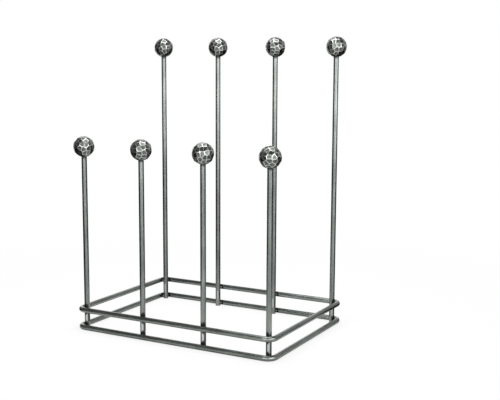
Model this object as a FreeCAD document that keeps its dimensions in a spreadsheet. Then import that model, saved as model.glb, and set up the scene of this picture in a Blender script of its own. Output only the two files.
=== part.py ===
import FreeCAD, Part
import math
import os

import Sketcher
from FreeCAD import Placement, Rotation, Vector

# Boot rack of round steel bar, hand welded: two equal rings, a row of short posts and a row of tall posts
# standing inside them, and a hammered ball on top of every post. Boots hang upside down over the posts.
# Millimetres, +Z up. The origin is the middle of the footprint on the floor, and the short row is at -Y.

doc = FreeCAD.newDocument("boot_rack")

# ---------------------------------------------------------------------------------------------------------
# Driving sizes
# ---------------------------------------------------------------------------------------------------------
DRIVING_SIZES = {
    "ring_width": 420,          # outside, along X
    "ring_depth": 300,          # outside, along Y
    "bar_diameter": 10,         # bar that both rings are bent from
    "bend_radius": 16,          # of the ring's corners, at the middle of the bar
    "ring_gap": 23.5,           # clear height between the two rings
    "post_diameter": 10,
    "posts_per_row": 4,
    "short_height": 365,        # floor to the top of a ball in the short row
    "tall_height": 550,         # floor to the top of a ball in the tall row
    "ball_diameter": 40,        # of the forged blank, before it is hammered
    "hammer_marks": 72,         # flats on one ball
    "hammer_depth": 1.15,       # that each blow takes off the blank
    "hammer_tilt": 50,          # degrees from upright to the axis that the flats wind round
    "mouth_facing": 1.7,        # filed off the underside of a ball, to give the drill a flat to start on
    "socket_depth": 13,         # of the flat-bottomed hole, from that flat
    "socket_clearance": 0.05,   # on the diameter
    "weld_breadth": 4.4,        # across the corners of the six-sided bead that a tack weld leaves
    "weld_height": 4,
    "weld_standoff": 0.7,       # from the bead's middle to the skin of each bar that it joins
}

sizes = doc.addObject("Spreadsheet::Sheet", "Sizes")
for row, (alias, value) in enumerate(DRIVING_SIZES.items(), start=1):
    sizes.set(f"A{row}", alias)
    sizes.set(f"B{row}", str(value))
    sizes.setAlias(f"B{row}", alias)
doc.recompute()


def size(alias):
    """One driving size as a number, for the shapes and counts that are worked out in code."""
    return float(sizes.get(alias))


# Places that several pieces share, as expressions on the sheet
BAR_RADIUS = "(Sizes.bar_diameter / 2)"
POST_RADIUS = "(Sizes.post_diameter / 2)"
HALF_WIDTH = f"(Sizes.ring_width / 2 - {BAR_RADIUS})"   # to the middle of the bar
HALF_DEPTH = f"(Sizes.ring_depth / 2 - {BAR_RADIUS})"
LOWER_RING_Z = BAR_RADIUS
UPPER_RING_Z = f"({BAR_RADIUS} + Sizes.bar_diameter + Sizes.ring_gap)"

# A post between the corners stands against the long rail. A corner post nests in the bend: its axis is
# `NEST` from the middle of the bend, on the diagonal.
RAIL_INSET = f"({BAR_RADIUS} + {POST_RADIUS})"
NEST = f"max(Sizes.bend_radius - {RAIL_INSET}; 0)"
CORNER_INSET = f"({RAIL_INSET} + {NEST} * (1 - 1 / sqrt(2)))"
CORNER_X = f"({HALF_WIDTH} - {CORNER_INSET})"
CORNER_Y = f"({HALF_DEPTH} - {CORNER_INSET})"
RAIL_Y = f"({HALF_DEPTH} - {RAIL_INSET})"

POSTS_PER_ROW = int(size("posts_per_row"))
HEIGHTS = {"short": "Sizes.short_height", "tall": "Sizes.tall_height"}
SIDES = {"short": -1, "tall": 1}   # where each row stands along Y: -1 in front, 1 at the back


# ---------------------------------------------------------------------------------------------------------
# What every piece is built with
# ---------------------------------------------------------------------------------------------------------
def new_body(label):
    body = doc.addObject("PartDesign::Body", label)
    body.Label = label
    return body


def new_sketch(body, name, plane_role):
    """An empty sketch on one of the body's own origin planes."""
    plane = next(p for p in body.Origin.OriginFeatures if p.Role == plane_role)
    sketch = body.newObject("Sketcher::SketchObject", name)
    sketch.AttachmentSupport = (plane, "")
    sketch.MapMode = "FlatFace"
    return sketch


def drive(sketch, kind, *geometry, by):
    """Adds a dimension to the sketch and binds it to an expression on the sheet."""
    index = sketch.addConstraint(Sketcher.Constraint(kind, *geometry))
    sketch.setExpression(f"Constraints[{index}]", by)


def place(piece, along_x, along_y, along_z):
    """Binds the piece's place to expressions on the sheet."""
    piece.setExpression("Placement.Base.x", along_x)
    piece.setExpression("Placement.Base.y", along_y)
    piece.setExpression("Placement.Base.z", along_z)


# ---------------------------------------------------------------------------------------------------------
# Rings: one bar each, bent at the four corners and closed by a butt weld in the middle of the back rail
# ---------------------------------------------------------------------------------------------------------
def make_ring(label, ring_z):
    body = new_body(label)
    half_width = (size("ring_width") - size("bar_diameter")) / 2
    half_depth = (size("ring_depth") - size("bar_diameter")) / 2
    bend = size("bend_radius")
    joint = Vector(0, half_depth, 0)

    path = new_sketch(body, label + "_path", "XY_Plane")
    corner = joint
    for quarter, (side_x, side_y) in enumerate(((-1, 1), (-1, -1), (1, -1), (1, 1))):
        middle = Vector(side_x * (half_width - bend), side_y * (half_depth - bend), 0)
        start_angle = math.radians(90 + 90 * quarter)
        arc = Part.ArcOfCircle(Part.Circle(middle, Vector(0, 0, 1), bend), start_angle, start_angle + math.pi / 2)
        path.addGeometry(Part.LineSegment(corner, arc.StartPoint))
        path.addGeometry(arc)
        corner = arc.EndPoint
    path.addGeometry(Part.LineSegment(corner, joint))

    back_left, bend_1, left, bend_2, front, bend_3, right, bend_4, back_right = range(9)
    for piece in range(back_right):
        path.addConstraint(Sketcher.Constraint("Tangent", piece, 2, piece + 1, 1))
    path.addConstraint(Sketcher.Constraint("Coincident", back_right, 2, back_left, 1))
    path.addConstraint(Sketcher.Constraint("PointOnObject", back_left, 1, -2))
    for level in (back_left, front, back_right):
        path.addConstraint(Sketcher.Constraint("Horizontal", level))
    for upright in (left, right):
        path.addConstraint(Sketcher.Constraint("Vertical", upright))
    for other in (bend_2, bend_3, bend_4):
        path.addConstraint(Sketcher.Constraint("Equal", bend_1, other))
    path.addConstraint(Sketcher.Constraint("Symmetric", bend_1, 3, bend_3, 3, -1, 1))
    drive(path, "Radius", bend_1, bend, by="Sizes.bend_radius")
    drive(path, "DistanceX", left, 1, right, 1, 2 * half_width, by=f"2 * {HALF_WIDTH}")
    drive(path, "DistanceY", front, 1, back_left, 1, 2 * half_depth, by=f"2 * {HALF_DEPTH}")

    section = new_sketch(body, label + "_section", "YZ_Plane")
    bar_radius = size("bar_diameter") / 2
    section.addGeometry(Part.Circle(Vector(half_depth, 0, 0), Vector(0, 0, 1), bar_radius))
    section.addConstraint(Sketcher.Constraint("PointOnObject", 0, 3, -1))
    drive(section, "DistanceX", -1, 1, 0, 3, half_depth, by=HALF_DEPTH)
    drive(section, "Radius", 0, bar_radius, by=BAR_RADIUS)
    doc.recompute()

    bar = body.newObject("PartDesign::AdditivePipe", label + "_bar")
    bar.Profile = section
    bar.Spine = path
    place(body, "0", "0", ring_z)
    return body


# ---------------------------------------------------------------------------------------------------------
# Posts: straight bar, flush with the underside of the lower ring, the top end seated in a ball
# ---------------------------------------------------------------------------------------------------------
def post_place(row, column):
    """X and Y of a post, as expressions: evenly spaced between the two corner posts of its row."""
    share = 2 * column / (POSTS_PER_ROW - 1) - 1
    at_corner = column in (0, POSTS_PER_ROW - 1)
    along_y = CORNER_Y if at_corner else RAIL_Y
    return f"{CORNER_X} * {share}", f"{along_y} * {SIDES[row]}"


def make_post(row, column):
    body = new_body(f"{row}_post_{column + 1}")
    outline = new_sketch(body, body.Label + "_outline", "XY_Plane")
    outline.addGeometry(Part.Circle(Vector(0, 0, 0), Vector(0, 0, 1), size("post_diameter") / 2))
    outline.addConstraint(Sketcher.Constraint("Coincident", 0, 3, -1, 1))
    drive(outline, "Radius", 0, size("post_diameter") / 2, by=POST_RADIUS)

    bar = body.newObject("PartDesign::Pad", body.Label + "_bar")
    bar.Profile = outline
    bar.setExpression("Length", f"{HEIGHTS[row]} - Sizes.ball_diameter + Sizes.mouth_facing + Sizes.socket_depth")
    place(body, *post_place(row, column), "0")
    return body


# ---------------------------------------------------------------------------------------------------------
# Balls: forged round, hammered all over so that flats meet in ridges, and drilled from below for the post
# ---------------------------------------------------------------------------------------------------------
def mark_direction(mark, marks):
    """Where a flat faces: flats wind from pole to pole by the golden angle, each a little off the line."""
    golden_angle = math.pi * (3 - math.sqrt(5))
    height = 1 - (2 * mark + 1) / marks + 0.35 / marks * math.sin(2.3 * mark)
    around = golden_angle * mark + 0.09 * math.sin(3.7 * mark)
    reach = math.sqrt(1 - height * height)
    return Vector(reach * math.cos(around), reach * math.sin(around), height)


def hammered_blank():
    """A forged ball with a flat under every blow. The axis that the flats wind about leans over."""
    radius = size("ball_diameter") / 2
    marks = int(size("hammer_marks"))
    lean = Rotation(Vector(1, 0, 0), size("hammer_tilt"))
    ball = Part.makeSphere(radius)
    for mark in range(marks):
        outward = lean.multVec(mark_direction(mark, marks))
        waste = Part.makeCylinder(radius, radius, outward * (radius - size("hammer_depth")), outward)
        ball = ball.cut(waste)
    down = Vector(0, 0, -1)
    return ball.cut(Part.makeCylinder(radius, radius, down * (radius - size("mouth_facing")), down))


blank = doc.addObject("Part::Feature", "hammered_blank")
blank.Shape = hammered_blank()


def make_ball(row, column):
    body = new_body(f"{row}_post_ball_{column + 1}")
    body.BaseFeature = blank
    mouth = new_sketch(body, body.Label + "_mouth", "XY_Plane")
    mouth.setExpression("AttachmentOffset.Base.z", "Sizes.mouth_facing - Sizes.ball_diameter / 2")
    socket_radius = (size("post_diameter") + size("socket_clearance")) / 2
    mouth.addGeometry(Part.Circle(Vector(0, 0, 0), Vector(0, 0, 1), socket_radius))
    mouth.addConstraint(Sketcher.Constraint("Coincident", 0, 3, -1, 1))
    drive(mouth, "Radius", 0, socket_radius, by="(Sizes.post_diameter + Sizes.socket_clearance) / 2")
    doc.recompute()

    socket = body.newObject("PartDesign::Pocket", body.Label + "_socket")
    socket.Profile = mouth
    socket.Reversed = True
    socket.setExpression("Length", "Sizes.socket_depth")
    body.Tip = socket
    turn = 137.5 * (column + POSTS_PER_ROW * (SIDES[row] > 0))   # no two balls show the same flats
    body.Placement = Placement(Vector(0, 0, 0), Rotation(Vector(0, 0, 1), turn))
    place(body, *post_place(row, column), f"{HEIGHTS[row]} - Sizes.ball_diameter / 2")
    return body


# ---------------------------------------------------------------------------------------------------------
# Welds: a tack on each side of every post, in the crevice between the post and the ring
# ---------------------------------------------------------------------------------------------------------
# On a straight rail the bead's middle is `weld_standoff` clear of both skins, beside the line of contact.
RAIL_BEAD_ASIDE = f"(2 * sqrt({POST_RADIUS} * Sizes.weld_standoff))"
RAIL_BEAD_Y = f"({HALF_DEPTH} - {BAR_RADIUS} - Sizes.weld_standoff)"

# In a corner it lies on an arc inside the bend, on either side of the diagonal, as far round as the post's
# skin allows but never past the end of the bend.
BEAD_ARC = f"(Sizes.bend_radius - {BAR_RADIUS} - Sizes.weld_standoff)"
BEAD_TO_POST = f"({POST_RADIUS} + Sizes.weld_standoff)"
BEAD_COSINE = f"(({BEAD_ARC}^2 + {NEST}^2 - {BEAD_TO_POST}^2) / (2 * {NEST} * {BEAD_ARC}))"
BEAD_SWING = f"acos(max({BEAD_COSINE}; cos(45 deg)))"


def bead_place(row, column, side):
    """X and Y of one weld bead, as expressions. `side` is -1 or 1: which flank of the post it is on."""
    if column in (0, POSTS_PER_ROW - 1):
        end = -1 if column == 0 else 1
        swing = f"(45 deg + {side} * {BEAD_SWING})"
        bend_x = f"({HALF_WIDTH} - Sizes.bend_radius)"
        bend_y = f"({HALF_DEPTH} - Sizes.bend_radius)"
        return (f"({bend_x} + {BEAD_ARC} * cos({swing})) * {end}",
                f"({bend_y} + {BEAD_ARC} * sin({swing})) * {SIDES[row]}")
    post_x, _ = post_place(row, column)
    return f"{post_x} + {RAIL_BEAD_ASIDE} * {side}", f"{RAIL_BEAD_Y} * {SIDES[row]}"


def make_welds(row, ring, ring_z, posts):
    label = f"{row}_post_welds_{ring.Label}"
    beads = []
    for column in range(POSTS_PER_ROW):
        for side in (-1, 1):
            bead = doc.addObject("Part::Prism", f"{label}_bead")
            bead.Polygon = 6
            bead.setExpression("Circumradius", "Sizes.weld_breadth / 2")
            bead.setExpression("Height", "Sizes.weld_height")
            place(bead, *bead_place(row, column, side), f"{ring_z} - Sizes.weld_height / 2")
            beads.append(bead)
    uncut = doc.addObject("Part::Compound", label + "_uncut")
    uncut.Links = beads
    row_of_posts = doc.addObject("Part::Compound", label + "_posts")
    row_of_posts.Links = posts
    on_ring = doc.addObject("Part::Cut", label + "_on_ring")
    on_ring.Base = uncut
    on_ring.Tool = ring
    welds = doc.addObject("Part::Cut", label)
    welds.Base = on_ring
    welds.Tool = row_of_posts
    welds.Label = label
    return welds


# ---------------------------------------------------------------------------------------------------------
# The rack, piece by piece
# ---------------------------------------------------------------------------------------------------------
lower_ring = make_ring("lower_ring", LOWER_RING_Z)
upper_ring = make_ring("upper_ring", UPPER_RING_Z)
pieces = [lower_ring, upper_ring]
for row in SIDES:
    posts = [make_post(row, column) for column in range(POSTS_PER_ROW)]
    balls = [make_ball(row, column) for column in range(POSTS_PER_ROW)]
    pieces += posts + balls
    pieces.append(make_welds(row, lower_ring, LOWER_RING_Z, posts))
    pieces.append(make_welds(row, upper_ring, UPPER_RING_Z, posts))
doc.recompute()

# ---------------------------------------------------------------------------------------------------------
# Checks before anything is written
# ---------------------------------------------------------------------------------------------------------
for item in doc.Objects:
    if "Invalid" in item.State or "Error" in item.State:
        raise RuntimeError(f"{item.Label} did not build: {item.State}")
for piece in pieces:
    if piece.Shape.isNull() or not piece.Shape.isValid():
        raise RuntimeError(f"{piece.Label} has no valid shape")

for ring in (lower_ring, upper_ring):
    bar = ring.Tip
    section, path = bar.Profile[0].Shape, bar.Spine[0].Shape
    if abs(ring.Shape.Volume / (Part.Face(section).Area * path.Length) - 1) > 0.001:
        raise RuntimeError(f"{ring.Label} is not one bar {path.Length:.1f} mm long")
socket_volume = math.pi * (size("post_diameter") / 2) ** 2 * size("socket_depth")
for piece in pieces:
    if "_ball_" in piece.Label and blank.Shape.Volume - piece.Shape.Volume < socket_volume:
        raise RuntimeError(f"{piece.Label} is not drilled")

os.makedirs("parts", exist_ok=True)
for piece in pieces:
    piece.Shape.exportStep(f"parts/{piece.Label}.step")
    print(f"{piece.Label:32} {len(piece.Shape.Solids):2} solids {piece.Shape.Volume:12.1f} mm3")
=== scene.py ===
import math

import bpy
from mathutils import Matrix, Vector


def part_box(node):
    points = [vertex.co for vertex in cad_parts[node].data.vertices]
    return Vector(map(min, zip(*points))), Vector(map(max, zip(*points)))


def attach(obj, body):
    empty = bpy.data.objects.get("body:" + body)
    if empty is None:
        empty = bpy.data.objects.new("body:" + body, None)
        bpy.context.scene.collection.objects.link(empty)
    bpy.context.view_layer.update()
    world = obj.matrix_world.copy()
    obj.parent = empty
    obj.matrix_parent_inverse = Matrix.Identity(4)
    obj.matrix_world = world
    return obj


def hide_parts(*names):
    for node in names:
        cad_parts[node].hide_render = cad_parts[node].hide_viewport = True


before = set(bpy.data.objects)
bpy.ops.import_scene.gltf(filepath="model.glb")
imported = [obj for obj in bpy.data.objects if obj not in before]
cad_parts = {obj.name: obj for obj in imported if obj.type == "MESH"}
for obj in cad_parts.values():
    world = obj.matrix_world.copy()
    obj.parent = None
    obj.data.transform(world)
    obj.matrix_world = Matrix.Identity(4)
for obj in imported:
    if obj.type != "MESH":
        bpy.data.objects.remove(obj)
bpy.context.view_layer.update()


# ---------------------------------------------------------------------------------------------------------
# Rings. Two bars of 10 mm hot-rolled steel, bent cold at four corners, wire brushed and lacquered over a
# pewter-grey patina. The brush ran along the bar, and the heat of the tacks left soot beside every post,
# with painted shade in the crevices there.
# ---------------------------------------------------------------------------------------------------------
RING_NODES = ("lower_ring", "upper_ring")
RING_LEVELS = (0.005, 0.0385)
RING_HALF_WIDTH = 0.205       # to the middle of the bar
RING_HALF_DEPTH = 0.145
BEND_RADIUS = 0.016
BAR_RADIUS = 0.005
MIDDLE_POST = 0.06441         # from the middle of the rack to the axis of a post between the corners
BEAD_STANDOFF = 0.0007        # from the middle of a weld bead to the skin of each bar
SCORCH_AND_SHADE_FADE = (0.0068, 0.0042)  # soot and painted crevice shade: clean from the first distance off a bead, black within the second
SOOT_CREEP = 0.5              # soot and painted shade reach up and down, so a step in height counts for half
PITTED = (0.70, 0.82)         # level of the pits' noise at which one begins, and at which it is full
THINNED = (0.36, 0.76)        # level at which the patina begins to thin, and at which it is gone
BRUSHED_ROUGHNESS = 0.23
BRUSH_MARK_DEPTH = 0.00002
SIDE_SHIFT = 0.1              # of the grain along the bar, so that the front and the back differ

PEWTER = (0.155, 0.17, 0.159, 1)        # brushed bar under its lacquer
PEWTER_PALE = (0.295, 0.319, 0.3, 1)    # where the brush went through the patina
SOOT_AND_SHADE_COLOUR = (0.03, 0.031, 0.03, 1)           # burnt on beside the welds and left in pits, and the colour of the painted shade beside the welds, below the balls and on the sides of the posts
HIGHLIGHT_STEEL = (0.56, 0.585, 0.565, 1)          # pale steel painted down the posts between the rings as a highlight

# Every post has a bead on either side of it at each ring. These are the four beads of one ring that lie at
# +X and +Y: two beside the post on the straight bar, and two beside the post nested in the corner.
rail_aside = 2 * math.sqrt(BAR_RADIUS * BEAD_STANDOFF)
rail_beads = [(MIDDLE_POST + side * rail_aside, RING_HALF_DEPTH - BAR_RADIUS - BEAD_STANDOFF)
              for side in (-1, 1)]
nest = BEND_RADIUS - 2 * BAR_RADIUS
bead_arc = BEND_RADIUS - BAR_RADIUS - BEAD_STANDOFF
bead_to_post = BAR_RADIUS + BEAD_STANDOFF
swing = math.acos((bead_arc ** 2 + nest ** 2 - bead_to_post ** 2) / (2 * nest * bead_arc))
corner_beads = [(RING_HALF_WIDTH - BEND_RADIUS + bead_arc * math.cos(math.pi / 4 + side * swing),
                 RING_HALF_DEPTH - BEND_RADIUS + bead_arc * math.sin(math.pi / 4 + side * swing))
                for side in (-1, 1)]


class Amount:
    """A number that varies from point to point. Sums on it add Math nodes to the tree it belongs to."""

    def __init__(self, nodes, socket):
        self.nodes = nodes
        self.socket = socket

    def maths(self, operation, *values):
        """The result of a Math node that takes the values in turn."""
        node = self.nodes.node("ShaderNodeMath", {"operation": operation}, dict(enumerate(values)))
        return Amount(self.nodes, node.outputs[0])

    def __add__(self, other):
        return self.maths("ADD", self, other)

    __radd__ = __add__

    def __mul__(self, other):
        return self.maths("MULTIPLY", self, other)

    __rmul__ = __mul__

    def __sub__(self, other):
        return self.maths("SUBTRACT", self, other)

    def __rsub__(self, other):
        return self.maths("SUBTRACT", other, self)

    def __abs__(self):
        return self.maths("ABSOLUTE", self)

    def sign(self):
        return self.maths("SIGN", self)

    def root(self):
        return self.maths("SQRT", self)

    def at_least(self, other):
        return self.maths("MAXIMUM", self, other)

    def at_most(self, other):
        return self.maths("MINIMUM", self, other)

    def angle_from(self, other):
        return self.maths("ARCTAN2", self, other)

    def hypot(self, other):
        return (self * self + other * other).root()

    def rise(self, start, end):
        """0 up to start, 1 from end on, and a soft step between them. End may lie below start."""
        node = self.nodes.node("ShaderNodeMapRange", {"interpolation_type": "SMOOTHSTEP"},
                               {"Value": self, "From Min": start, "From Max": end})
        return Amount(self.nodes, node.outputs["Result"])


class Nodes:
    """The node tree of a material or of a world, empty to begin with."""

    def __init__(self, owner):
        owner.use_nodes = True
        self.tree = owner.node_tree
        self.tree.nodes.clear()

    def plug(self, socket, value):
        """Gives a socket its link, or else its value."""
        if isinstance(value, Amount):
            value = value.socket
        if isinstance(value, bpy.types.NodeSocket):
            self.tree.links.new(value, socket)
        else:
            socket.default_value = value

    def node(self, kind, settings, inputs):
        """Adds a node. Settings are set first, then every input gets its value or its link."""
        node = self.tree.nodes.new(kind)
        for name, value in settings.items():
            setattr(node, name, value)
        for name, value in inputs.items():
            self.plug(node.inputs[name], value)
        return node


class Finish(Nodes):
    """A procedural material: one Principled BSDF and the nodes that feed it."""

    def __init__(self, name, metallic=1.0):
        self.material = bpy.data.materials.new(name)
        super().__init__(self.material)
        self.surface = self.node("ShaderNodeBsdfPrincipled", {}, {"Metallic": metallic})
        self.output = self.node("ShaderNodeOutputMaterial", {}, {"Surface": self.surface.outputs["BSDF"]})

    def show(self, **inputs):
        """Sets the surface itself, such as Base_Color or Roughness."""
        for name, value in inputs.items():
            self.plug(self.surface.inputs[name.replace("_", " ")], value)

    def place(self):
        """The three parts of the point's place, in metres."""
        where = self.node("ShaderNodeTexCoord", {}, {}).outputs["Object"]
        parts = self.node("ShaderNodeSeparateXYZ", {}, {"Vector": where})
        return [Amount(self, parts.outputs[axis]) for axis in "XYZ"]

    def noise(self, along, across, up, scale, detail=3.0):
        """A cloudy pattern from 0 to 1. Scale says how fine it is."""
        where = self.node("ShaderNodeCombineXYZ", {}, {"X": along, "Y": across, "Z": up})
        node = self.node("ShaderNodeTexNoise", {}, {"Vector": where.outputs["Vector"], "Scale": scale,
                                                    "Detail": detail, "Roughness": 0.55})
        return Amount(self, node.outputs["Fac"])

    def blend(self, share, first, second):
        """A colour that goes from the first to the second as share goes from 0 to 1."""
        node = self.node("ShaderNodeMix", {"data_type": "RGBA"}, {0: share, 6: first, 7: second})
        return node.outputs[2]

    def relief(self, height, depth):
        """Raises and lowers the surface by up to depth, in metres, as height goes from 0 to 1."""
        node = self.node("ShaderNodeBump", {}, {"Height": height, "Strength": 1.0, "Distance": depth})
        return node.outputs["Normal"]


def scorched_and_shaded(x, y, z):
    """1 where the heat of a tack blackened the bar and painted shade darkens the crevice beside it, and 0
    away from the tacks.
    """
    nearest = None
    for bead_x, bead_y in rail_beads + corner_beads:
        from_bead = (abs(x) - bead_x).hypot(abs(y) - bead_y)
        nearest = nearest.at_most(from_bead) if nearest else from_bead
    off_level = abs(z - RING_LEVELS[0]).at_most(abs(z - RING_LEVELS[1]))
    return nearest.hypot(off_level * SOOT_CREEP).rise(*SCORCH_AND_SHADE_FADE)


def brushed_bar(finish, along, across, up, soot_and_shade, painted_highlight=0.0):
    """Colour, gloss and grain of brushed bar. The soot with painted shade, and the painted highlight, go
    from 0 to 1.
    """
    def drawn_out(share, scale, detail=3.0):
        """A pattern drawn out along the bar, of whose length only a share counts."""
        return finish.noise(along * share, across, up, scale, detail)

    grain = drawn_out(0.03, scale=1100.0)
    mottle = drawn_out(0.22, scale=280.0, detail=2.0)
    cloud = drawn_out(0.3, scale=60.0)
    pits = drawn_out(0.5, scale=500.0, detail=1.0).rise(*PITTED)
    worn = (grain * 0.4 + mottle * 0.15 + cloud * 0.5).rise(*THINNED)
    # Where a painted highlight is asked for, pale steel is painted over the bar.
    metal = finish.blend(painted_highlight, finish.blend(worn, PEWTER, PEWTER_PALE), HIGHLIGHT_STEEL)
    # Pits, soot and painted shade share one dark colour.
    dark = (pits * 0.2 + soot_and_shade * (mottle * 0.5 + 0.8)).at_most(1.0)
    finish.show(Base_Color=finish.blend(dark, metal, SOOT_AND_SHADE_COLOUR),
                Roughness=BRUSHED_ROUGHNESS + grain * 0.08 + dark * 0.2,
                Normal=finish.relief(grain * 0.7 + mottle * 0.3, BRUSH_MARK_DEPTH))


ring_steel = Finish("brushed_ring_steel")
x, y, z = ring_steel.place()
past_bend_x = abs(x) - (RING_HALF_WIDTH - BEND_RADIUS)
past_bend_y = abs(y) - (RING_HALF_DEPTH - BEND_RADIUS)
turned = past_bend_x.at_least(0.0).angle_from(past_bend_y.at_least(0.0))
run = abs(x).at_most(RING_HALF_WIDTH - BEND_RADIUS) + turned * BEND_RADIUS - past_bend_y.at_most(0.0)
along_ring = run * x.sign() + y * SIDE_SHIFT
off_bend_line = past_bend_x.at_least(0.0).hypot(past_bend_y.at_least(0.0))
outward = off_bend_line + past_bend_x.at_least(past_bend_y).at_most(0.0)
brushed_bar(ring_steel, along_ring, outward, z, scorched_and_shaded(x, y, z))

for name in RING_NODES:
    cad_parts[name].material_slots[0].material = ring_steel.material


# ---------------------------------------------------------------------------------------------------------
# Posts. Eight lengths of the same bar, sawn square, standing inside the rings and tacked to both. The
# brush ran up and down. Between the rings a painted highlight of pale steel runs down the front and the
# back, and painted shade down the sides; more painted shade darkens each post below its ball.
# ---------------------------------------------------------------------------------------------------------
ROWS = ("short", "tall")
POSTS_PER_ROW = 4
BALL_MOUTHS = (0.3267, 0.5117)    # levels where a short post and a tall post enter their balls
BALL_SHADE_FADE = (0.005, 0.001)   # painted shade below a ball: none from the first distance on, dark within the second
PAINTED_LIGHT_FROM = (0.011, 0.016)     # the painted highlight and the painted side shade lie in between these two pairs of levels
PAINTED_LIGHT_TO = (0.034, 0.029)
HIGHLIGHT_ASIDE = 0.0016              # the painted highlight strips lie this far to the +X side of the posts' middles
HIGHLIGHT_EDGE = (0.0013, 0.0029)     # off the middle of a strip, painted highlight to the first and painted shade from the second
HIGHLIGHT_SHORT = 0.8                 # how strong the painted highlight of the short row is
HIGHLIGHT_LESS = 0.3                  # how much weaker that of the tall row is
PAINTED_SHADE = 0.8                # darkness of the painted shade on the sides of the posts between the rings, and below the balls

post_steel = Finish("brushed_post_steel")
x, y, z = post_steel.place()
tall_row = y.rise(-0.01, 0.01)    # 0 in the short row and 1 in the tall one
below_ball = tall_row * (BALL_MOUTHS[1] - BALL_MOUTHS[0]) + BALL_MOUTHS[0] - z
corner_post = RING_HALF_WIDTH - BEND_RADIUS + nest * math.sqrt(0.5)
across_rack = abs(x - HIGHLIGHT_ASIDE)
off_strip = abs(across_rack - corner_post).at_most(abs(across_rack - MIDDLE_POST))
shaded_side = off_strip.rise(*HIGHLIGHT_EDGE)
between_rings = z.rise(*PAINTED_LIGHT_FROM) * z.rise(*PAINTED_LIGHT_TO)
# Soot and painted shade beside the tacks, and painted shade below the balls.
soot_and_shade = scorched_and_shaded(x, y, z).at_least(below_ball.rise(*BALL_SHADE_FADE) * PAINTED_SHADE)
# Painted shade down the sides of the posts between the rings.
soot_and_shade = soot_and_shade.at_least(between_rings * shaded_side * PAINTED_SHADE)
# Painted highlight of pale steel down the front and back of the posts between the rings.
highlighted = between_rings * (1 - shaded_side) * (HIGHLIGHT_SHORT - tall_row * HIGHLIGHT_LESS)
brushed_bar(post_steel, z, x, y, soot_and_shade, highlighted)

for row in ROWS:
    for column in range(POSTS_PER_ROW):
        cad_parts[f"{row}_post_{column + 1}"].material_slots[0].material = post_steel.material


# ---------------------------------------------------------------------------------------------------------
# Balls. Solid steel, forged round and hammered all over: every blow left a shallow dish, and the dishes
# meet in ridges. Patina fills the dishes and is rubbed off the ridges. Drilled from below for the post.
# ---------------------------------------------------------------------------------------------------------
BALL_RADIUS = 0.020          # of the blank
LUMP_RADIUS = 0.024          # of the lump that the blows shape
BLOWS = 72
BLOW_DEPTH = 0.00115
BLOW_AXIS_LEAN = 50          # degrees
BLOW_DRIFT = 0.35            # most that a blow lies off the spiral, as a share of the step between turns
BLOW_SWAY = 0.09             # and round the ball, in radians
SHORTEST_RIDGE = 0.0004
DISH_RIMS = ((0.0008, 0.0), (0.0012, -0.00012))   # breadth and sink of each step from a ridge into a dish
MOUTH_FACING = 0.0017        # filed off the underside
SOCKET_DEPTH = 0.013
SOCKET_RADIUS = 0.005025
SHARP_EDGE = 35              # degrees
BALL_TURN = 141              # degrees from one ball to the next, so that no two look the same
RUBBED_FADE = (0.0011, 0.0001)   # patina from the first distance off a ridge, bright within the second
RUBBED_UNEVENNESS = 0.0006
DISH_CLOUDS = (0.35, 0.7)    # level of the noise at which a dish begins to turn pale, and at which it is
HAMMERED_ROUGHNESS = 0.26
HAMMER_MARK_DEPTH = 0.00012
DISH_DARK = (0.072, 0.077, 0.072, 1)
DISH_PALE = (0.165, 0.173, 0.163, 1)
RUBBED_RIDGE = (0.62, 0.64, 0.61, 1)


def deselect_everything():
    if bpy.context.object and bpy.context.object.mode != "OBJECT":
        bpy.ops.object.mode_set(mode="OBJECT")
    bpy.ops.object.select_all(action="DESELECT")


def apply_modifier(piece, kind, **settings):
    modifier = piece.modifiers.new(kind.lower(), kind)
    for name, value in settings.items():
        setattr(modifier, name, value)
    bpy.context.view_layer.objects.active = piece
    bpy.ops.object.modifier_apply(modifier=modifier.name)


def blow_direction(blow):
    """Blows wind from pole to pole by the golden angle, and two sines put each a little off the line."""
    height = 1 - (2 * blow + 1) / BLOWS + BLOW_DRIFT / BLOWS * math.sin(2.3 * blow)
    around = math.pi * (3 - math.sqrt(5)) * blow + BLOW_SWAY * math.sin(3.7 * blow)
    reach = math.sqrt(1 - height * height)
    return Vector((reach * math.cos(around), reach * math.sin(around), height))


lean = Matrix.Rotation(math.radians(BLOW_AXIS_LEAN), 3, "X")
blows = [lean @ blow_direction(blow) for blow in range(BLOWS)]

deselect_everything()
bpy.ops.mesh.primitive_ico_sphere_add(subdivisions=2, radius=LUMP_RADIUS)
hammered_ball = bpy.context.object
bpy.ops.object.mode_set(mode="EDIT")
faces_to_cut = [(blow, BALL_RADIUS - BLOW_DEPTH) for blow in blows]
faces_to_cut.append((Vector((0, 0, -1)), BALL_RADIUS - MOUTH_FACING))
for outward, reach in faces_to_cut:
    bpy.ops.mesh.select_all(action="SELECT")
    bpy.ops.mesh.bisect(plane_co=outward * reach, plane_no=outward, use_fill=True, clear_outer=True)
bpy.ops.mesh.select_all(action="SELECT")
bpy.ops.mesh.remove_doubles(threshold=SHORTEST_RIDGE)
bpy.ops.mesh.select_all(action="SELECT")
for breadth, sink in DISH_RIMS:
    bpy.ops.mesh.inset(thickness=breadth, depth=sink, use_individual=True, use_even_offset=False)
bpy.ops.object.mode_set(mode="OBJECT")
apply_modifier(hammered_ball, "SUBSURF", levels=2, render_levels=2)

deselect_everything()
bpy.ops.mesh.primitive_cylinder_add(vertices=64, radius=SOCKET_RADIUS, depth=2 * SOCKET_DEPTH,
                                    location=(0, 0, MOUTH_FACING - BALL_RADIUS))
drill = bpy.context.object
apply_modifier(hammered_ball, "BOOLEAN", object=drill, operation="DIFFERENCE", solver="EXACT")
bpy.data.objects.remove(drill)

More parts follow.
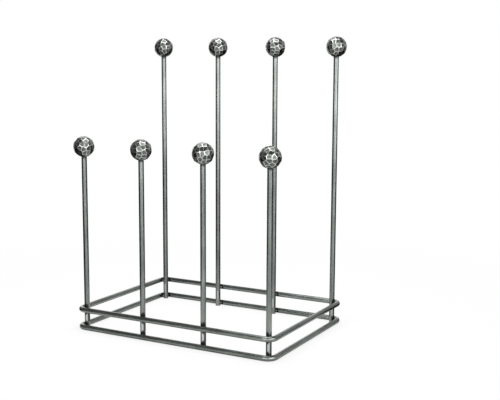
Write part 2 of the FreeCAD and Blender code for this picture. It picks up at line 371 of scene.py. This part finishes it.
# How far each point lies from the nearest ridge: the plane midway between the two blows nearest to it.
ridge_distance = hammered_ball.data.attributes.new("from_ridge", "FLOAT", "POINT")
for vertex in hammered_ball.data.vertices:
    outward = vertex.co.normalized()
    (first, nearest), (second, next_nearest) = sorted(
        ((outward.dot(blow), index) for index, blow in enumerate(blows)), reverse=True)[:2]
    spread = (blows[nearest] - blows[next_nearest]).length
    ridge_distance.data[vertex.index].value = BALL_RADIUS * (first - second) / spread

deselect_everything()
hammered_ball.select_set(True)
bpy.context.view_layer.objects.active = hammered_ball
bpy.ops.object.shade_smooth_by_angle(angle=math.radians(SHARP_EDGE))

hammered_steel = Finish("hammered_steel")
x, y, z = hammered_steel.place()
ridge_node = hammered_steel.node("ShaderNodeAttribute", {"attribute_name": "from_ridge"}, {})
from_ridge = Amount(hammered_steel, ridge_node.outputs["Fac"])
cloud = hammered_steel.noise(x, y, z, scale=160.0)
grain = hammered_steel.noise(x, y, z, scale=900.0)
on_ridge = (from_ridge + (cloud - 0.5) * RUBBED_UNEVENNESS).rise(*RUBBED_FADE)
rubbed = on_ridge * (cloud * 1.2 + 0.3).at_most(1.0)
dish = hammered_steel.blend(cloud.rise(*DISH_CLOUDS), DISH_DARK, DISH_PALE)
hammered_steel.show(Base_Color=hammered_steel.blend(rubbed, dish, RUBBED_RIDGE),
                    Roughness=HAMMERED_ROUGHNESS + grain * 0.12 - rubbed * 0.04,
                    Normal=hammered_steel.relief(cloud * 0.6 + grain * 0.4, HAMMER_MARK_DEPTH))
hammered_ball.data.materials.append(hammered_steel.material)

for row in ROWS:
    for column in range(POSTS_PER_ROW):
        post_low, post_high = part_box(f"{row}_post_{column + 1}")
        middle = (post_low + post_high) / 2
        middle.z = post_high.z - SOCKET_DEPTH + BALL_RADIUS - MOUTH_FACING
        turn = math.radians(BALL_TURN * (column + POSTS_PER_ROW * ROWS.index(row)))
        ball = hammered_ball.copy()
        ball.data = hammered_ball.data.copy()
        ball.name = f"{row}_post_hammered_ball_{column + 1}"
        ball.data.transform(Matrix.Translation(middle) @ Matrix.Rotation(turn, 4, "Z"))
        bpy.context.collection.objects.link(ball)
        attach(ball, "root")
        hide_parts(f"{row}_post_ball_{column + 1}")
bpy.data.objects.remove(hammered_ball)


# ---------------------------------------------------------------------------------------------------------
# Welds. A tack of filler in the crevice on each side of every post, at both rings: a small domed puddle
# that froze in ripples, wire brushed but darker than the bar.
# ---------------------------------------------------------------------------------------------------------
BEAD_RADIUS = 0.0022
BEAD_TALL = 1.15             # in bead radii
BEAD_UNEVENNESS = 0.00022
BEAD_TURN = 2.4              # radians from one bead to the next, so that no two look the same
ROW_TURN = 19.2              # radians, one way for the short row and the other for the tall one
LEVEL_TURN = 7.2             # radians for each metre of height
WELD_CLOUDS = (0.4, 0.65)    # level of the noise at which a bead begins to turn bright, and at which it is
WELD_ROUGHNESS = 0.26
RIPPLE_DEPTH = 0.0002
WELD_DARK = (0.10, 0.10, 0.098, 1)
WELD_BRIGHT = (0.42, 0.43, 0.41, 1)

deselect_everything()
bpy.ops.mesh.primitive_ico_sphere_add(subdivisions=3, radius=BEAD_RADIUS)
puddle = bpy.context.object
bpy.ops.object.mode_set(mode="EDIT")
bpy.ops.mesh.select_all(action="SELECT")
bpy.ops.transform.resize(value=(1, 1, BEAD_TALL))
bpy.ops.transform.vertex_random(offset=BEAD_UNEVENNESS, uniform=0.5, normal=0.8, seed=4)
bpy.ops.object.mode_set(mode="OBJECT")
bpy.ops.object.transform_apply(location=True, rotation=True, scale=True)
apply_modifier(puddle, "SUBSURF", levels=1, render_levels=1)
bpy.ops.object.shade_smooth()

weld_steel = Finish("weld_steel")
x, y, z = weld_steel.place()
ripple = weld_steel.noise(x * 0.5, y * 0.5, z * 2.5, scale=900.0, detail=1.0)
tint = weld_steel.noise(x, y, z, scale=500.0)
weld_steel.show(Base_Color=weld_steel.blend(tint.rise(*WELD_CLOUDS), WELD_DARK, WELD_BRIGHT),
                Roughness=WELD_ROUGHNESS + tint * 0.2,
                Normal=weld_steel.relief(ripple, RIPPLE_DEPTH))
puddle.data.materials.append(weld_steel.material)

bead_places = [(end * bead_x, bead_y) for end in (-1, 1) for bead_x, bead_y in corner_beads + rail_beads]

for row, facing in zip(ROWS, (-1, 1)):
    for ring, level in zip(RING_NODES, RING_LEVELS):
        deselect_everything()
        for index, (bead_x, bead_y) in enumerate(bead_places):
            bead = puddle.copy()
            bead.data = puddle.data.copy()
            turn = BEAD_TURN * index + ROW_TURN * facing + LEVEL_TURN * level
            place = Matrix.Translation((bead_x, facing * bead_y, level))
            bead.data.transform(place @ Matrix.Rotation(turn, 4, "Z"))
            bpy.context.collection.objects.link(bead)
            bead.select_set(True)
            bpy.context.view_layer.objects.active = bead
        bpy.ops.object.join()
        tacks = bpy.context.object
        tacks.name = f"{row}_post_tacks_{ring}"
        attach(tacks, "root")
        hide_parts(f"{row}_post_welds_{ring}")
bpy.data.objects.remove(puddle)


# ---------------------------------------------------------------------------------------------------------
# Floor and backdrop. White paper that runs out to a white background. It keeps the rack's shadow, and away
# from the rack it shows as plain white, to the eye and in the metal alike.
# ---------------------------------------------------------------------------------------------------------
WHITE = (1, 1, 1, 1)
BACKGROUND = 1.0
PAPER = (0.9, 0.9, 0.9, 1)
FLOOR_REACH = 12.0
PLAIN_WHITE = (0.35, 1.1)    # off the middle of the rack, where the paper begins to turn plain, and is
NEAR_WHITE = 0.8             # how far the paper has turned plain white beside the rack

deselect_everything()
bpy.ops.mesh.primitive_plane_add(size=2 * FLOOR_REACH, location=(0, 0, 0))
floor = bpy.context.object
floor.name = "studio_floor"
paper = Finish("floor_paper", metallic=0.0)
paper.show(Base_Color=PAPER, Roughness=0.9)
x, y, z = paper.place()
away = x.hypot(y).rise(*PLAIN_WHITE)
sight = paper.node("ShaderNodeLightPath", {}, {})
camera_sees = Amount(paper, sight.outputs["Is Camera Ray"])
metal_sees = Amount(paper, sight.outputs["Is Glossy Ray"]).at_least(
    Amount(paper, sight.outputs["Is Transmission Ray"]))
plain = camera_sees * (away * (1 - NEAR_WHITE) + NEAR_WHITE) + metal_sees * away
white = paper.node("ShaderNodeEmission", {}, {"Color": WHITE, "Strength": BACKGROUND})
mixed = paper.node("ShaderNodeMixShader", {}, {0: plain, 1: paper.surface.outputs["BSDF"],
                                              2: white.outputs["Emission"]})
paper.plug(paper.output.inputs["Surface"], mixed.outputs["Shader"])
floor.data.materials.append(paper.material)


# ---------------------------------------------------------------------------------------------------------
# Light. One wide soft lamp overhead and an even glow from all round. Camera and metal see the air as plain
# white.
# ---------------------------------------------------------------------------------------------------------
AIR_GLOW = 0.7
SOFTBOX_SIDE = 0.9
SOFTBOX_HEIGHT = 1.3
SOFTBOX_POWER = 10           # watts

world = bpy.data.worlds.new("studio")
bpy.context.scene.world = world
air = Nodes(world)
sight = air.node("ShaderNodeLightPath", {}, {})
seen = Amount(air, sight.outputs["Is Camera Ray"])
for ray in ("Is Glossy Ray", "Is Transmission Ray"):
    seen = seen.at_least(Amount(air, sight.outputs[ray]))
glow = air.node("ShaderNodeBackground", {}, {"Color": WHITE, "Strength": AIR_GLOW})
white = air.node("ShaderNodeBackground", {}, {"Color": WHITE, "Strength": BACKGROUND})
mixed = air.node("ShaderNodeMixShader", {}, {0: seen, 1: glow.outputs["Background"],
                                            2: white.outputs["Background"]})
air.node("ShaderNodeOutputWorld", {}, {"Surface": mixed.outputs["Shader"]})

softbox_light = bpy.data.lights.new("overhead_softbox", "AREA")
softbox_light.shape = "SQUARE"
softbox_light.size = SOFTBOX_SIDE
softbox_light.energy = SOFTBOX_POWER
softbox = bpy.data.objects.new("overhead_softbox", softbox_light)
softbox.location = (0.0, 0.0, SOFTBOX_HEIGHT)
bpy.context.collection.objects.link(softbox)


# ---------------------------------------------------------------------------------------------------------
# Tent. Bright metal is shown in a tent: dark cloth all round and underfoot, two tall soft lights, and two
# doors that let the white paper in. Only reflections see it, and it gives the bar its bright middle and
# its dark edges.
# ---------------------------------------------------------------------------------------------------------
TENT_MIDDLE = (-0.3, 0.2)
TENT_RADIUS = 2.5
TENT_LEVELS = (0.001, 0.18, 0.8, 1.6, 2.5)
TENT_DOORS = ((5, 85), (195, 255))     # bearings in degrees, from -Y towards +X
TENT_CLOTHS = (                        # glow, lowest and highest level, first and last bearing
    ("left_strip_light", 3.4, 0.18, 1.6, -11, 24),
    ("right_strip_light", 3.8, 0.18, 1.6, 46, 87),
    ("lit_cloth", 2.1, 0.18, 0.8, 15, 52.5),
    ("rear_cloth", 1.4, 0.18, 2.5, 182, 248),
    ("grey_cloth", 0.6, 0.18, 2.5, 95, 182),
    ("black_cloth", 0.02, 0.0, 0.18, 80, 360),
    ("dark_cloth", 0.16, 0.18, 2.6, 0, 360))


def between_bearings(bearing, first, last):
    return (bearing - first) % 360 < last - first


def cloth_at(bearing, height):
    """The first cloth in the list that hangs there, and dark cloth where none does."""
    for index, (_, _, lowest, highest, first, last) in enumerate(TENT_CLOTHS):
        if lowest < height < highest and between_bearings(bearing, first, last):
            return index
    return len(TENT_CLOTHS) - 1


deselect_everything()
bpy.ops.mesh.primitive_circle_add(vertices=144, radius=TENT_RADIUS, fill_type="TRIFAN",
                                  location=(*TENT_MIDDLE, TENT_LEVELS[0]))
tent = bpy.context.object
tent.name = "dark_tent"
bpy.ops.object.mode_set(mode="EDIT")
bpy.ops.mesh.select_mode(type="EDGE")
bpy.ops.mesh.select_all(action="DESELECT")
bpy.ops.mesh.select_non_manifold()
for low, high in zip(TENT_LEVELS, TENT_LEVELS[1:]):
    bpy.ops.mesh.extrude_region_move(TRANSFORM_OT_translate={"value": (0, 0, high - low)})
bpy.ops.mesh.edge_face_add()
bpy.ops.mesh.select_mode(type="FACE")
bpy.ops.mesh.select_all(action="DESELECT")
bpy.ops.object.mode_set(mode="OBJECT")
for name, glow, *_ in TENT_CLOTHS:
    cloth = Finish(name, metallic=0.0)
    cloth.show(Base_Color=(0, 0, 0, 1), Roughness=1.0, Specular_IOR_Level=0.0,
               Emission_Color=WHITE, Emission_Strength=glow)
    tent.data.materials.append(cloth.material)
for face in tent.data.polygons:
    bearing = math.degrees(math.atan2(face.center.x, -face.center.y))
    height = face.center.z + TENT_LEVELS[0]
    face.material_index = cloth_at(bearing, height)
    in_door = any(between_bearings(bearing, *door) for door in TENT_DOORS)
    face.select = in_door and height < TENT_LEVELS[1]
bpy.ops.object.mode_set(mode="EDIT")
bpy.ops.mesh.delete(type="FACE")
bpy.ops.object.mode_set(mode="OBJECT")
bpy.ops.object.transform_apply(location=True, rotation=True, scale=True)
tent.visible_camera = False
tent.visible_diffuse = False
tent.visible_shadow = False
tent.visible_transmission = False


# ---------------------------------------------------------------------------------------------------------
# Camera. It stands a little above the rack, round from the short row towards +X.
# ---------------------------------------------------------------------------------------------------------
CAMERA_AIM = (0.0, 0.0, 0.2)
CAMERA_YAW = 28.475           # degrees, from -Y towards +X
CAMERA_PITCH = 8.248          # degrees, up from level
CAMERA_ROLL = 0.279           # degrees, its right side raised
CAMERA_DISTANCE = 1.750622
AIM_RIGHT = -0.0734803        # where the aim lies, from the middle of the picture
AIM_UP = -0.0426828
SENSOR_WIDTH = 36             # millimetres
LENS_IN_FRAME_WIDTHS = 924.902 / 500

yaw, pitch, roll = (math.radians(angle) for angle in (CAMERA_YAW, CAMERA_PITCH, CAMERA_ROLL))
towards_camera = Vector((math.sin(yaw) * math.cos(pitch), -math.cos(yaw) * math.cos(pitch), math.sin(pitch)))
level_right = (-towards_camera).cross(Vector((0, 0, 1))).normalized()
level_up = towards_camera.cross(level_right)
picture_right = math.cos(roll) * level_right + math.sin(roll) * level_up
picture_up = math.cos(roll) * level_up - math.sin(roll) * level_right
eye = (Vector(CAMERA_AIM) + towards_camera * CAMERA_DISTANCE - picture_right * AIM_RIGHT
       - picture_up * AIM_UP)
lens = bpy.data.cameras.new("camera")
lens.sensor_fit = "HORIZONTAL"
lens.sensor_width = SENSOR_WIDTH
lens.lens = SENSOR_WIDTH * LENS_IN_FRAME_WIDTHS
lens.clip_end = 100
camera = bpy.data.objects.new("camera", lens)
bpy.context.collection.objects.link(camera)
camera.matrix_world = Matrix((
    (picture_right.x, picture_up.x, towards_camera.x, eye.x),
    (picture_right.y, picture_up.y, towards_camera.y, eye.y),
    (picture_right.z, picture_up.z, towards_camera.z, eye.z),
    (0, 0, 0, 1)))
bpy.context.scene.camera = camera
bpy.context.scene.view_settings.view_transform = "Standard"
